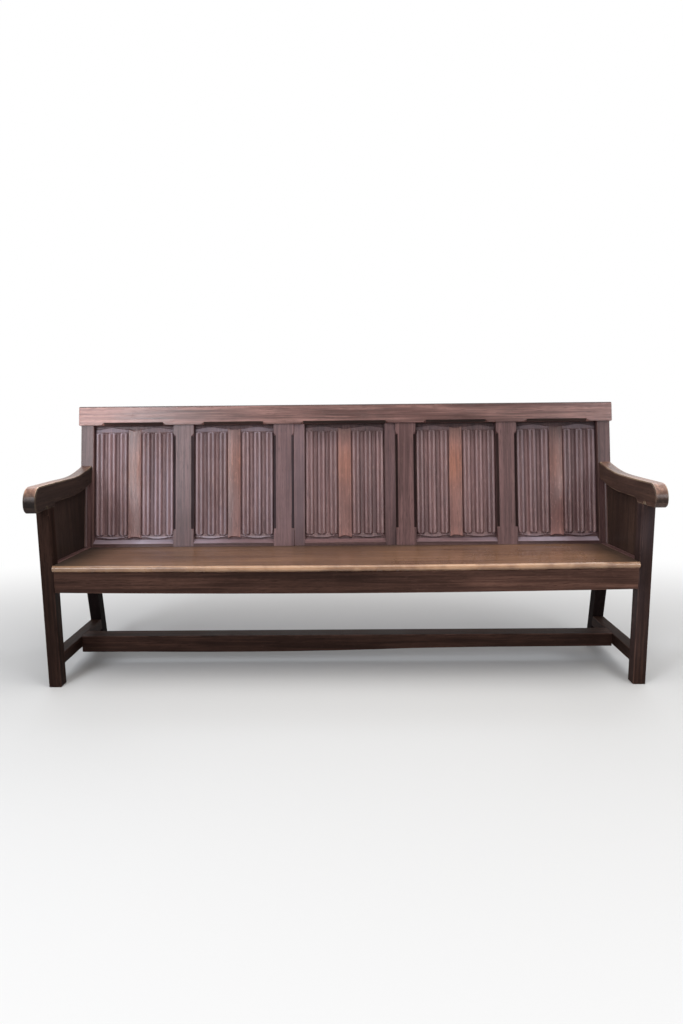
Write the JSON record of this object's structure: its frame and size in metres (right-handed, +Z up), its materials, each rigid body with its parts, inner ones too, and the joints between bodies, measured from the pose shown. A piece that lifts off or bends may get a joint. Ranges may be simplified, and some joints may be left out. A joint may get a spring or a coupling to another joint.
{
  "type": "settle bench",
  "caption": "Long oak settle with a raked back of linenfold panels between muntins, scrolled arms, a rounded seat board and an H stretcher.",
  "frame": {"origin": "on the floor, in the middle of the whole bench's box", "axes": "+X along the seat, to the right of someone who looks at the front; the front faces -Y; +Z up"},
  "size_m": [2.116, 0.609, 0.9787],
  "materials": {
    "oak_frame": "dark stained and waxed",
    "oak_legs": "very dark stained and waxed",
    "oak_panels": "dark stained, waxed, crests rubbed paler",
    "oak_seat": "polished, worn to orange brown",
    "oak_rails": "dark stained and polished",
    "oak_inside": "bare oak"
  },
  "bodies": {
    "root": {"side_seat_rail_left": "oak_frame", "side_seat_rail_right": "oak_frame", "arm_left": "oak_frame", "arm_right": "oak_frame", "corner_fillet_left": "oak_frame", "corner_fillet_right": "oak_frame", "lower_back_rail": "oak_frame", "centre_strip_left": "oak_frame", "centre_strip_right": "oak_frame", "muntin_1": "oak_frame", "muntin_2": "oak_frame", "muntin_3": "oak_frame", "muntin_4": "oak_frame", "front_post_left": "oak_legs", "front_post_right": "oak_legs", "rear_post_left": "oak_legs", "rear_post_right": "oak_legs", "side_stretcher_left": "oak_legs", "side_stretcher_right": "oak_legs", "centre_stretcher": "oak_legs", "arm_panel_left": "oak_panels", "arm_panel_right": "oak_panels", "linenfold_panel_1": "oak_panels", "linenfold_panel_2": "oak_panels", "linenfold_panel_3": "oak_panels", "linenfold_panel_4": "oak_panels", "linenfold_panel_5": "oak_panels", "seat_board": "oak_seat", "front_seat_rail": "oak_rails", "top_rail": "oak_rails", "rear_seat_rail": "oak_inside", "seat_bearer_1": "oak_inside", "seat_bearer_2": "oak_inside", "seat_bearer_3": "oak_inside", "glue_block_1": "oak_inside", "glue_block_2": "oak_inside", "glue_block_3": "oak_inside", "glue_block_4": "oak_inside"}
  },
  "joints": []
}
